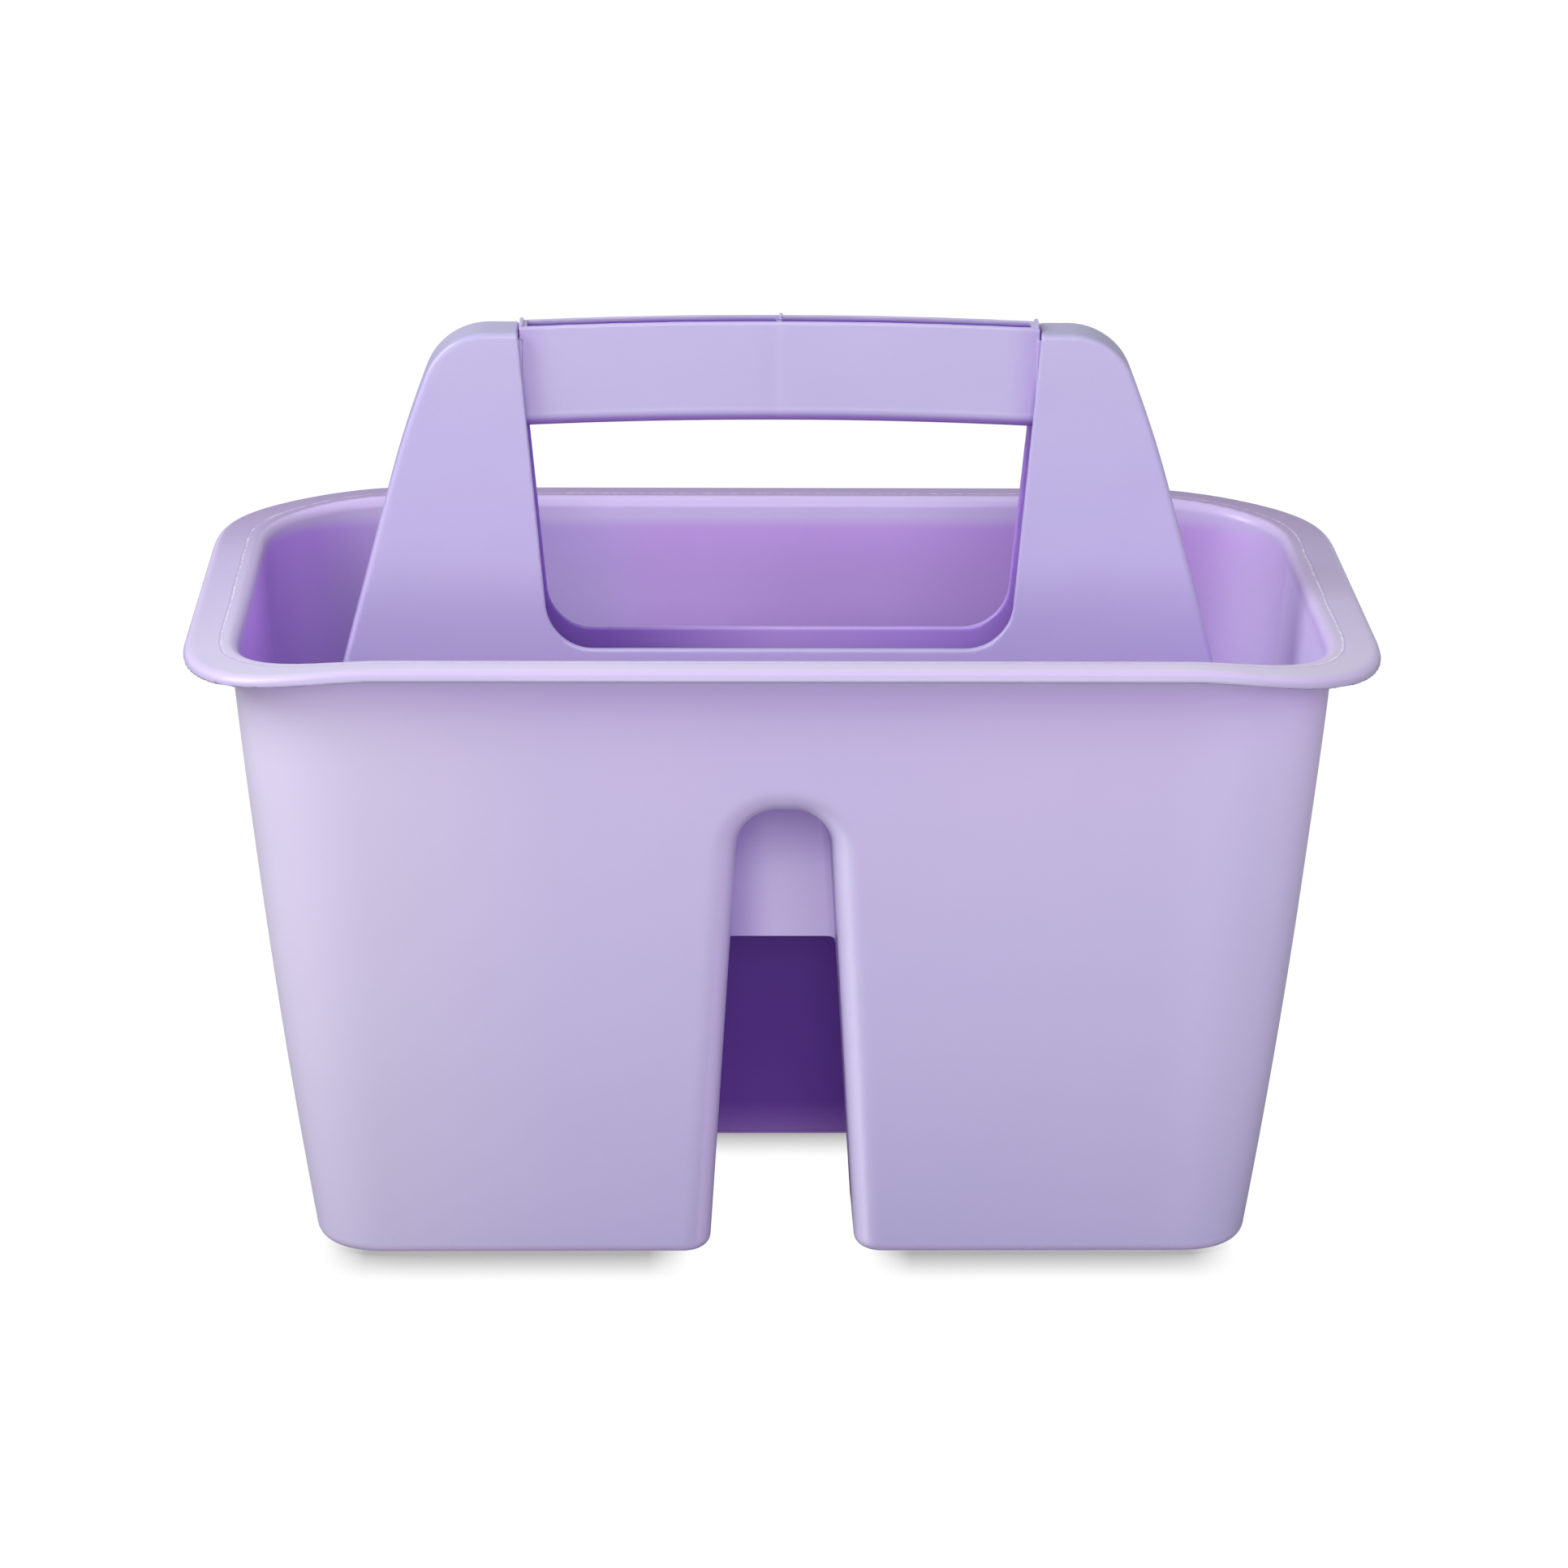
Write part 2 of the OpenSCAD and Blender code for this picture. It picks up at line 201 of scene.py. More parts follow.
def hollow(x, y, z):
    """everything opened from outside: the spine and the notch before it"""
    spine = spine_hollow(x, y, z)
    arch = notch_outline(x, z)
    high = round_and(arch, (y + spine_y(z)) * SPINE_SCALE, 2.2)
    # below the end wall the notch runs into the spine
    low = np.maximum(round_or(np.maximum(arch, y), spine, 1.2), z - END_Z)
    return np.minimum(np.minimum(spine, high), low)


def tub_skin(x, y, z, opening):
    """tub body with its openings, before the bottom edges and the flange"""
    return round_and(wall(x, y, z), -opening, NOTCH_MOUTH)


def tub_field(x, y, z):
    opening = hollow(x, y, z)
    body = tub_skin(x, y, z, opening)
    # bottom edges: round outside and beside the notch, tight in the spine
    ahead = fall(y, -spine_y(z) - 1, 4)
    body = round_and(body, -z, lerp(1.3 + 1.9 * rise(opening, 2, 4), 3.3, ahead))
    above = z - RIM_Z + DIP * rise(np.abs(x), DIP_X, DIP_RUN)
    past = super_box(x, y, RIM_HALF_X, RIM_HALF_Y, RIM_CORNER, RIM_POWER) - LIP_REACH
    # the flange meets the wall with a small fillet below and a broad one above
    body = round_or(body, -(above + THICK), 0.9)
    sheet = np.maximum(body, -(body + THICK))
    # the flange turns down into the lip
    cap = round_and(past, above, LIP_ROUND)
    sheet = np.maximum(sheet, cap)
    lip = np.maximum(cap, -(cap + LIP_THICK))
    lip = round_and(lip, -(above + LIP_DROP), 0.5)
    lip = np.maximum(lip, -(past + 4.0))
    shell = np.minimum(sheet, lip)
    # seat for the handle
    cut = np.maximum(SEAT_Z - 0.15 - z, spine_hollow(x, y, z) - THICK - 1.0)
    shell = np.maximum(shell, -cut)
    # tongue that stands up inside the handle, thicker below the seat to join the spine
    ring = np.maximum(plate_side(y, z), leg_side(x, z)) + THICK + 0.12
    weld = 0.4 * (z < SEAT_Z - 0.3)
    ring = np.abs(ring + 0.8 - weld) - 0.8 - weld
    tongue = np.maximum(ring, np.abs(z - (SEAT_Z + 1)) - 7.0)
    return np.minimum(shell, tongue)


# ------------------------------------------------------------- handle frame
# centre of the top corner's arc, and its tilt where it meets the leg's edge
CORNER_Z = TOP_Z - LEG_ROUND
JOIN_Z = CORNER_Z + LEG_ROUND * math.sin(math.atan(leg_slope(CORNER_Z + 6)))
JOIN_TILT = math.atan(leg_slope(JOIN_Z))
CORNER_X = float(leg_at(JOIN_Z)) - LEG_ROUND * math.cos(JOIN_TILT)


def handle_outline(x, z):
    half = np.abs(x)
    slope = leg_slope(z)
    side = (half - leg_at(z)) / np.sqrt(1 + slope * slope)
    top = z - TOP_Z
    u = half - CORNER_X
    v = z - CORNER_Z
    in_corner = (u > 0) & (math.cos(JOIN_TILT) * v - math.sin(JOIN_TILT) * u > 0)
    flat = np.where((u > 0) & (v > 0), side, np.maximum(side, top))
    return np.where(in_corner, np.sqrt(u * u + v * v) - LEG_ROUND, flat)


def window_outline(x, z):
    """opening between the legs, rounded at its lower corners"""
    cos = 1 / math.sqrt(1 + WINDOW_SLOPE**2)
    side = (np.abs(x) - (WINDOW_X - WINDOW_SLOPE * (TOP_Z - z))) * cos
    centre_z = WINDOW_Z + WINDOW_ROUND
    centre_x = WINDOW_X - WINDOW_SLOPE * (TOP_Z - centre_z) - WINDOW_ROUND / cos
    u = np.abs(x) - centre_x
    v = z - centre_z
    in_corner = (u > 0) & (-cos * v - WINDOW_SLOPE * cos * u > 0) & (v < 0)
    arc = np.sqrt(u * u + v * v) - WINDOW_ROUND
    return np.where(in_corner, arc, np.maximum(side, WINDOW_Z - z))


def handle_field(x, y, z):
    face = plate_side(y, z)
    outline = handle_outline(x, z)
    inner = np.maximum(face + THICK, outline + THICK)
    sheet = np.maximum(round_and(face, outline, 1.3), -inner)
    sheet = np.maximum(sheet, SEAT_Z - z)
    return round_and(sheet, -window_outline(x, z), 0.45)


# ------------------------------------------------------------- grip channel
def grip_height(x, z):
    """height above the arched underside"""
    return np.sqrt(x * x + (z - (GRIP_Z - GRIP_HEIGHT - GRIP_RADIUS)) ** 2) - GRIP_RADIUS


def grip_field(x, y, z):
    height = grip_height(x, z)
    far_x, far_y = np.abs(x), np.abs(y)
    end = far_x - GRIP_X
    # outer section with rounded lower edges, nearly sharp upper ones
    outer = round_and(far_y - GRIP_HALF_Y, -height, 3.4)
    outer = round_and(outer, height - GRIP_HEIGHT, 0.5)
    inner = round_and(far_y - (GRIP_HALF_Y - GRIP_THICK), -(height - 2.3), 1.2)
    inner = np.maximum(inner, end + 2.0)
    # cross web in the middle, its top a little below the walls
    web = np.maximum(far_x - 0.75, height - (GRIP_HEIGHT - 0.9))
    inner = np.maximum(inner, -web)
    channel = np.maximum(np.maximum(outer, -inner), end)
    # ragged nib on the web, and a plain one at each end
    over_top = np.abs(height - GRIP_HEIGHT)
    nib = np.maximum(np.abs(x - 0.35) - 0.42, far_y - 1.3 - 0.5 * np.sin(9 * z))
    nib = np.maximum(nib, over_top - 1.3)
    tip = np.maximum(np.abs(far_x - (GRIP_X - 0.5)) - 0.5, far_y - (GRIP_HALF_Y - 1.2))
    tip = np.maximum(tip, over_top - 0.9)
    # blocks that close the mouths of the hollow legs
    side = far_y - (plate_y(z) - THICK - BLOCK_GAP)
    block = np.maximum(np.abs(far_x - (GRIP_X + 1.6)) - 2.4, side)
    block = np.maximum(block, z - (TOP_Z - THICK - BLOCK_GAP))
    block = round_and(block, (GRIP_Z - GRIP_HEIGHT - GRIP_SAG + 1) - z, 0.4)
    return np.minimum(np.minimum(channel, block), np.minimum(nib, tip))


# ------------------------------------------------------- surface extraction
def spans(*runs):
    """grid lines: (start, stop, step) runs joined end to end"""
    lines = []
    for start, stop, step in runs:
        count = max(1, int(round((stop - start) / step)))
        lines.append(np.linspace(start, stop, count + 1)[:-1])
    lines.append([runs[-1][1]])
    return np.concatenate(lines)


def mirrored(*runs):
    half = spans(*runs)
    return np.concatenate([-half[:0:-1], half])


def edge_ends(axis):
    """slices that pick the low and high ends of all grid edges along an axis"""
    low = [slice(None)] * 3
    high = [slice(None)] * 3
    low[axis] = slice(0, -1)
    high[axis] = slice(1, None)
    return tuple(low), tuple(high)


def moved(cell, u, v, du, dv):
    cell = list(cell)
    cell[u] = cell[u] + du
    cell[v] = cell[v] + dv
    return cell


def crossed_cells(values, lines, shape):
    """flat numbers of the cells the surface crosses, and the mean crossing point in each"""
    total = np.zeros((math.prod(shape), 3))
    count = np.zeros(math.prod(shape), np.int64)
    for axis in range(3):
        low, high = edge_ends(axis)
        start, stop = values[low], values[high]
        edge = np.nonzero((start < 0) != (stop < 0))
        share = start[edge] / (start[edge] - stop[edge])
        points = np.stack([line[at] for line, at in zip(lines, edge)], 1)
        line, at = lines[axis], edge[axis]
        points[:, axis] = line[at] + share * (line[at + 1] - line[at])
        u, v = [other for other in range(3) if other != axis]
        for du in (0, -1):
            for dv in (0, -1):
                cell = moved(edge, u, v, du, dv)
                ok = np.all([(c >= 0) & (c < n) for c, n in zip(cell, shape)], axis=0)
                flat = np.ravel_multi_index(tuple(c[ok] for c in cell), shape)
                np.add.at(total, flat, points[ok])
                np.add.at(count, flat, 1)
    active = np.nonzero(count)[0]
    return active, total[active] / count[active][:, None]


def cell_quads(inside, active, shape):
    """one quad round every crossed edge, wound to face outward"""
    index = np.full(math.prod(shape), -1, np.int64)
    index[active] = np.arange(len(active))
    quads = []
    for axis in range(3):
        low, high = edge_ends(axis)
        edge = np.nonzero(inside[low] != inside[high])
        u, v = (axis + 1) % 3, (axis + 2) % 3
        ok = (edge[u] > 0) & (edge[v] > 0) & (edge[u] < shape[u]) & (edge[v] < shape[v])
        edge = tuple(c[ok] for c in edge)
        ring = [
            index[np.ravel_multi_index(tuple(moved(edge, u, v, du, dv)), shape)]
            for du, dv in ((-1, -1), (0, -1), (0, 0), (-1, 0))
        ]
        quad = np.stack(ring, 1)
        leaving = inside[low][edge]
        quad[~leaving] = quad[~leaving][:, ::-1]
        quads.append(quad)
    return np.concatenate(quads)


def gradient(field, verts, e=0.03):
    """unit gradient, field value and gradient length, by central differences"""
    x, y, z = verts.T
    slope = np.stack([
        field(x + e, y, z) - field(x - e, y, z),
        field(x, y + e, z) - field(x, y - e, z),
        field(x, y, z + e) - field(x, y, z - e),
    ], 1) / (2 * e)
    length = np.sqrt((slope * slope).sum(1))
    return slope / np.maximum(length, 1e-6)[:, None], field(x, y, z), length


def surface_net(field, lines):
    """One vertex per crossed cell, moved onto the surface; quads between neighbours."""
    shape = tuple(len(line) - 1 for line in lines)
    values = field(*np.meshgrid(*lines, indexing="ij"))
    active, verts = crossed_cells(values, lines, shape)
    quads = cell_quads(values < 0, active, shape)
    # Newton steps, each vertex kept near its own cell
    cells = np.unravel_index(active, shape)
    size = np.stack([np.diff(line)[at] for line, at in zip(lines, cells)], 1)
    centre = np.stack([(line[at] + line[at + 1]) / 2 for line, at in zip(lines, cells)], 1)
    for _ in range(6):
        normals, value, length = gradient(field, verts)
        step = -(value / np.maximum(length, 0.3))[:, None] * normals
        verts = verts + np.clip(step, -0.4 * size, 0.4 * size)
        verts = np.clip(verts, centre - 0.75 * size, centre + 0.75 * size)
    return verts, quads, gradient(field, verts, 0.12)[0]


def drop_scraps(verts, quads, normals, least=400):
    """keep only connected sheets of at least so many faces"""
    edges = np.concatenate([quads[:, [0, 1]], quads[:, [1, 2]], quads[:, [2, 3]]])
    label = np.arange(len(verts))
    while True:
        lowest = np.minimum(label[edges[:, 0]], label[edges[:, 1]])
        new = label.copy()
        np.minimum.at(new, edges[:, 0], lowest)
        np.minimum.at(new, edges[:, 1], lowest)
        np.minimum.at(new, label[edges[:, 0]], lowest)
        np.minimum.at(new, label[edges[:, 1]], lowest)
        for _ in range(4):
            new = new[new]
        if np.array_equal(new, label):
            break
        label = new
    sheet = label[quads[:, 0]]
    quads = quads[np.bincount(sheet, minlength=len(verts))[sheet] >= least]
    used = np.unique(quads)
    index = np.full(len(verts), -1, np.int64)
    index[used] = np.arange(len(used))
    return verts[used], index[quads], normals[used]


# -------------------------------------------------------------- vertex tints: painted light and shade
def shade(*rows):
    """piecewise linear colour; each row is (position, red, green, blue)"""
    table = np.array(rows)

    def pick(value):
        return np.stack([np.interp(value, table[:, 0], table[:, c]) for c in (1, 2, 3)], 1)

    return pick


# tub, painted light and shade, by the coordinate in mm that each name ends with
# painted shade inside the hollow spine: deep purple, darkest high up, lifting toward the floor
CAVITY_Z = shade((0, 0.72, 0.44, 0.90), (5, 0.52, 0.28, 0.80), (10, 0.36, 0.15, 0.66),
                 (70, 0.31, 0.11, 0.61))
# painted light and shade on the outer walls: a pale line at the foot with shade just above, shade
# under the rim, lighter toward both ends
OUTER_Z = shade((0, 1.15, 1.12, 1.16), (1.6, 1.0, 1.0, 1.02), (3.6, 0.80, 0.84, 0.86),
                (60, 0.90, 0.93, 0.93), (140, 1.0, 1.0, 1.0), (149, 0.98, 0.96, 0.99),
                (157, 0.88, 0.81, 0.93))
OUTER_X = shade((-140, 1.14, 1.22, 1.00), (-100, 1.08, 1.12, 1.00), (-55, 1.01, 1.02, 1.0),
                (0, 1, 1, 1), (95, 1.01, 1.02, 1.01), (118, 1.08, 1.10, 1.08),
                (135, 1.26, 1.25, 1.24))
# painted light and shade on the rear inner wall, darker toward the rim
REAR_X = shade((-110, 0.88, 0.98, 0.93), (-48, 0.88, 0.99, 0.93), (-30, 0.97, 0.92, 0.98),
               (110, 0.98, 0.91, 0.98))
REAR_Z = shade((110, 1.04, 1.02, 1.05), (128, 1.0, 0.99, 1.02), (141, 0.95, 0.92, 0.96),
               (154, 0.91, 0.83, 0.93))
# painted light and shade on the rim's flat: lighter at the front, darker toward the back and both
# ends
RIM_TINT_Y = shade((-90, 1.15, 1.24, 1.03), (-60, 1.15, 1.22, 1.06), (30, 0.94, 0.94, 0.95),
                   (70, 0.68, 0.62, 0.70), (90, 0.57, 0.49, 0.61))
RIM_TINT_X = shade((-150, 0.88, 0.89, 0.91), (-110, 0.92, 0.93, 0.95), (-90, 1, 1, 1),
                   (95, 1, 1, 1), (125, 0.93, 0.92, 0.94), (150, 0.84, 0.83, 0.86))
# painted shade on the notch's end wall: darker toward the top and at the left
END_WALL_Z = shade((60, 1, 1, 1), (90, 1, 1, 1), (114, 0.74, 0.46, 1.00), (130, 0.70, 0.42, 1.00))
END_WALL_X = shade((-14, 0.82, 0.65, 1.0), (-3, 1, 1, 1), (14, 1, 1, 1))
# painted light and shade on the inner walls, by how far the face turns toward -x: paler facing
# -x, deeper purple facing +x
INNER_FACING = shade((-1, 1.20, 0.80, 1.38), (-0.5, 1.12, 0.80, 1.26), (0, 1.05, 0.92, 1.08),
                     (1, 1.05, 1.13, 1.05))
# painted shade that dims the rim's turned-down edge
RIM_EDGE_TINT = (0.80, 0.82, 0.80)
# painted highlight on the side of the notch's mouth that faces -x
MOUTH_TINT = (1.26, 1.36, 1.20)
# handle: painted light and shade
# painted light and shade on the handle: lighter at its foot, darker higher up
LEG_Z = shade((138, 1.07, 1.09, 1.15), (152, 0.92, 0.93, 1.00), (163, 0.83, 0.84, 0.90),
              (205, 0.81, 0.84, 0.88), (228, 0.82, 0.86, 0.87))
# painted shade on the handle's upward-facing faces
LEG_TOP_X = shade((-100, 0.88, 0.92, 0.92), (100, 0.80, 0.86, 0.84))
# painted shade inside the handle's hollow, deepest at the left
LEG_INSIDE_X = shade((-70, 0.42, 0.24, 0.78), (-45, 0.55, 0.33, 0.92), (0, 0.97, 0.77, 1.15),
                     (50, 0.88, 0.62, 1.19), (70, 0.85, 0.60, 1.15))
# painted highlight on the front edge of the window's sill
SILL_TINT = (1.22, 1.26, 1.12)
# grip: painted light and shade
GRIP_TINT = (0.865, 0.91, 0.905)
GRIP_UNDER = (0.78, 0.56, 0.93)
GRIP_LINE = (1.08, 1.10, 1.06)
GRIP_ENDS = (0.88, 0.80, 0.93)
GRIP_DEEP = (0.45, 0.28, 0.80)

# painted light: glow strengths of the right inner wall and of the notch's end wall
GLOW_RIGHT, GLOW_END = 0.07, 0.19        # right inner wall, notch end wall
# the crease's line is a painted highlight and shade
RIM_CREASE = 1.9                         # the rim's fine line, mm out from the wall
NO_CREASE = 9.0                          # far enough that no line is drawn


def blend(shading_tint, weight, colour):
    weight = weight[:, None]
    return shading_tint * (1 - weight) + shading_tint * colour * weight


def colour_tub(x, y, z, normals):
    """painted light and shade on the tub: tints by region, painted glow, and the rim crease's
    distance
    """
    nx, _, nz = normals.T
    out = wall(x, y, z)
    opening = hollow(x, y, z)
    # painted shade inside the hollow spine
    cave = fall(spine_hollow(x, y, z), 1.2, 0.5) * (z < SEAT_Z)
    shading_tint = blend(np.ones((len(x), 3)), cave, CAVITY_Z(z))
    # painted light and shade on the outer and inner faces of the walls, below the flange
    low = fall(z, RIM_Z - 5, 4)
    shading_tint = blend(shading_tint, rise(out, -1.2, 0.6) * low * (1 - cave), OUTER_Z(z) * OUTER_X(x))
    inner = fall(np.abs(out + THICK), 1.0, 0.6) * low * (1 - cave) * rise(opening, 2.6, 1.0)
    # painted light and shade on the inner faces, by which way they face
    shading_tint = blend(shading_tint, inner, INNER_FACING(-nx))
    # painted light and shade on the rear inner wall
    shading_tint = blend(shading_tint, inner * rise(y, 30, 10), REAR_X(x) * REAR_Z(z))
    # painted light: the right inner wall glows
    glow = inner * GLOW_RIGHT * rise(-nx, 0.15, 0.6) * rise(x, 40, 30)
    # painted light and shade on the flat of the rim, then painted shade on its turned-down edge
    flat = rise(nz, 0.9, 0.08) * rise(z, RIM_Z - 6, 1.5)
    shading_tint = blend(shading_tint, flat, RIM_TINT_Y(y) * RIM_TINT_X(x))
    edge = fall(nz, 0.75, 0.4) * rise(out, 4, 2) * rise(z, RIM_Z - 9, 2)
    shading_tint = blend(shading_tint, edge, RIM_EDGE_TINT)
    # skin that faces the notch, not the bins' side of it
    front = -(y + spine_y(z))
    near = fall(np.abs(x), NOTCH_BASE + 9, 4) * (z < NOTCH_Z + 12) * (out < 1)
    near = near * rise(tub_skin(x, y, z, opening), -1.3, 0.6)
    # painted light and shade on the notch's end wall: a glow low down and toward the right, and a
    # tint darker toward the top and at the left
    end = fall(front, 5.0, 3) * (front > -0.9) * near * (z > END_Z - 0.6)
    glow = glow + GLOW_END * end * fall(z, 112, 26) * lerp(0.30, 1.0, rise(x, -13, 12))
    shading_tint = blend(shading_tint, end, END_WALL_Z(z) * END_WALL_X(x))
    # painted highlight on the side of the notch's mouth that faces -x
    mouth = near * rise(front, 4, 4) * fall(np.abs(opening), 7.5, 5) * (1 - cave)
    shading_tint = blend(shading_tint, mouth * rise(-nx, 0.1, 0.5), MOUTH_TINT)
    return shading_tint, glow, wall(x, y, RIM_Z) - RIM_CREASE


def colour_handle(x, y, z, normals):
    _, ny, nz = normals.T
    solid = np.maximum(plate_side(y, z), handle_outline(x, z))
    inside = rise(-solid, 1.2, 0.5)
    # painted shade on upward-facing faces, over the painted light and shade by height
    shading_tint = blend(LEG_Z(z), rise(nz, 0.25, 0.6) * (1 - inside), LEG_TOP_X(x))
    # painted shade inside the handle's hollow
    shading_tint = blend(shading_tint, inside, LEG_INSIDE_X(x) / LEG_Z(z))
    # painted highlight along the front edge of the window's sill
    sill = fall(z, WINDOW_Z + 3, 2) * band(window_outline(x, z) - 0.45, 0.6) * (ny < -0.3)
    shading_tint = blend(shading_tint, sill, SILL_TINT)
    return shading_tint, np.zeros(len(x)), np.full(len(x), NO_CREASE)


def colour_grip(x, y, z, normals):
    _, ny, nz = normals.T
    # painted highlight at the middle web's sink mark and a faint painted shade to its left, on a
    # grip toned a little darker overall
    streak = 1 + 0.035 * np.exp(-((x / 0.9) ** 2)) - 0.02 * np.exp(-(((x + 3) / 2.2) ** 2))
    shading_tint = np.ones((len(x), 3)) * GRIP_TINT * streak[:, None]
    # painted shade on the underside
    shading_tint = blend(shading_tint, rise(-nz, 0.20, 0.35), GRIP_UNDER)
    # painted highlight: a pale line along the front face, near the lower edge
    shading_tint = blend(shading_tint, band(grip_height(x, z) - 3.7, 0.7) * (ny < -0.5), GRIP_LINE)
    # painted shade toward the ends of the front and back faces
    shading_tint = blend(shading_tint, rise(np.abs(x), GRIP_X - 9, 9) * (np.abs(ny) > 0.5), GRIP_ENDS)
    # painted shade deep inside the channel
    deep = fall(np.abs(y), GRIP_HALF_Y - GRIP_THICK + 0.45, 0.35)
    deep = deep * fall(z, GRIP_Z - 0.6 - 1.6 * (x / GRIP_X) ** 2, 0.5)
    shading_tint = blend(shading_tint, deep * (z > GRIP_Z - GRIP_HEIGHT + 1.5), GRIP_DEEP)
    return shading_tint, np.zeros(len(x)), np.full(len(x), NO_CREASE)


# ------------------------------------------------------------------- pieces
def make_mesh(name, verts, quads, normals, colours):
    mesh = bpy.data.meshes.new(name)
    mesh.vertices.add(len(verts))
    mesh.vertices.foreach_set("co", (verts / MM).astype(np.float32).ravel())
    mesh.loops.add(len(quads) * 4)
    mesh.loops.foreach_set("vertex_index", quads.astype(np.int32).ravel())
    mesh.polygons.add(len(quads))
    mesh.polygons.foreach_set("loop_start", np.arange(0, len(quads) * 4, 4, dtype=np.int32))
    mesh.polygons.foreach_set("use_smooth", np.ones(len(quads), bool))
    mesh.update(calc_edges=True)
    shading_tint, glow, crease = colours
    rgba = np.concatenate([shading_tint, np.ones((len(shading_tint), 1))], 1)
    layer = mesh.attributes.new("shading_tint", "FLOAT_COLOR", "POINT")
    layer.data.foreach_set("color", rgba.astype(np.float32).ravel())
    for key, values in (("glow", glow), ("crease", crease)):
        layer = mesh.attributes.new(key, "FLOAT", "POINT")
        layer.data.foreach_set("value", values.astype(np.float32))
    mesh.validate()
    mesh.normals_split_custom_set_from_vertices(normals.astype(np.float32).tolist())
    mesh.update()
    piece = bpy.data.objects.new(name, mesh)
    bpy.context.scene.collection.objects.link(piece)
    return piece


def make_piece(name, field, colour, grid):
    verts, quads, normals = drop_scraps(*surface_net(field, grid))
    colours = colour(*verts.T, normals)
    verts[:, 0] += LEAN * (LEAN_Z - verts[:, 2])
    return make_mesh(name, verts, quads, normals, colours)


# grid lines along x, y and z: fine at edges and bends, coarse on plain walls
TUB_GRID = (
    mirrored((0, 26, 1.0 * COARSE), (26, 96, 3.2), (96, 153, 0.95 * COARSE)),
    spans((-92.5, -46, 0.95 * COARSE), (-46, -31, 2.6), (-31, -4, 1.0 * COARSE), (-4, 4, 2.6),
          (4, 31, 1.0 * COARSE), (31, 46, 2.6), (46, 92.5, 0.95 * COARSE)),
    spans((-1.2, 9, 0.85 * COARSE), (9, 66, 2.8), (66, 84, 1.0 * COARSE), (84, 108, 2.6),
          (108, 132, 0.9 * COARSE), (132, 155, 2.6), (155, 160.5, 0.9 * COARSE),
          (160.5, 168, 0.5 * COARSE)),
)
HANDLE_GRID = (
    mirrored((0, 40, 2.4), (40, 119, 0.62 * COARSE)),
    mirrored((0, 3, 1.5), (3, 13.6, 0.45 * COARSE)),
    spans((SEAT_Z - 1, SEAT_Z + 3, 0.6 * COARSE), (SEAT_Z + 3, 146, 2.0),
          (146, 165, 0.6 * COARSE), (165, 204, 1.6), (204, 234, 0.62 * COARSE)),
)
GRIP_GRID = (
    mirrored((0, 2, 0.3 * COARSE), (2, 62, 1.6), (62, 72, 0.5 * COARSE)),
    mirrored((0, 8.2, 0.36 * COARSE)),
    spans((203.5, 236, 0.4 * COARSE)),
)

# part, field, colouring, grid, CAD piece
PIECES = (
    ("tub", tub_field, colour_tub, TUB_GRID, "tub"),
    ("handle", handle_field, colour_handle, HANDLE_GRID, "handle_frame"),
    ("grip", grip_field, colour_grip, GRIP_GRID, "grip_channel"),
)
pieces = {}
for part, field, colour, grid, cad_piece in PIECES:
    pieces[part] = make_piece(part + "_shell", field, colour, grid)
    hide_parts(cad_piece)


# ---------------------------------------------------------------- materials
class Nodes:
    """small helper for building node trees"""

    def __init__(self, owner):
        owner.use_nodes = True
        self.tree = owner.node_tree
        self.tree.nodes.clear()

    def new(self, kind, **inputs):
        node = self.tree.nodes.new("ShaderNode" + kind)
        for key, value in inputs.items():
            self.put(node.inputs[key.replace("_", " ")], value)
        return node

    def put(self, socket, value):
        if hasattr(value, "is_output"):
            self.tree.links.new(value, socket)
        else:
            socket.default_value = value

    def attribute(self, name, output="Fac"):
        node = self.new("Attribute")
        node.attribute_name = name
        return node.outputs[output]

    def noise(self, vector, scale, detail, rough=0.5):
        node = self.new("TexNoise", Vector=vector, Scale=scale, Detail=detail, Roughness=rough)
        return node.outputs["Fac"]

    def ramp(self, value, over, to=(0.0, 1.0)):
        """map the range over onto the range to, clamped"""
        node = self.new("MapRange", Value=value, From_Min=over[0], From_Max=over[1],
                        To_Min=to[0], To_Max=to[1])
        return node.outputs[0]

    def mix(self, fac, a, b, blend_type="MIX"):
        node = self.new("Mix")
        node.data_type = "RGBA"
        node.blend_type = blend_type
        for socket, value in ((0, fac), (6, a), (7, b)):
            self.put(node.inputs[socket], value)
        return node.outputs[2]

    def math(self, operation, a, b):
        node = self.new("Math")
        node.operation = operation
        self.put(node.inputs[0], a)
        self.put(node.inputs[1], b)
        return node.outputs[0]


LILAC = (0.515, 0.440, 0.700, 1)
BLUSH = (0.535, 0.445, 0.705, 1)
DEEP = (0.460, 0.270, 0.690, 1)          # seen by light that has already met the plastic
# colour of the painted light that glows where the glow attribute is set
GLOW = (0.78, 0.66, 1.0, 1)
# painted highlight and shade of the rim's crease
CREASE_HIGHLIGHT = (0.86, 0.83, 0.92, 1)
CREASE_SHADE = (0.30, 0.22, 0.50, 1)
ROUGH = 0.33


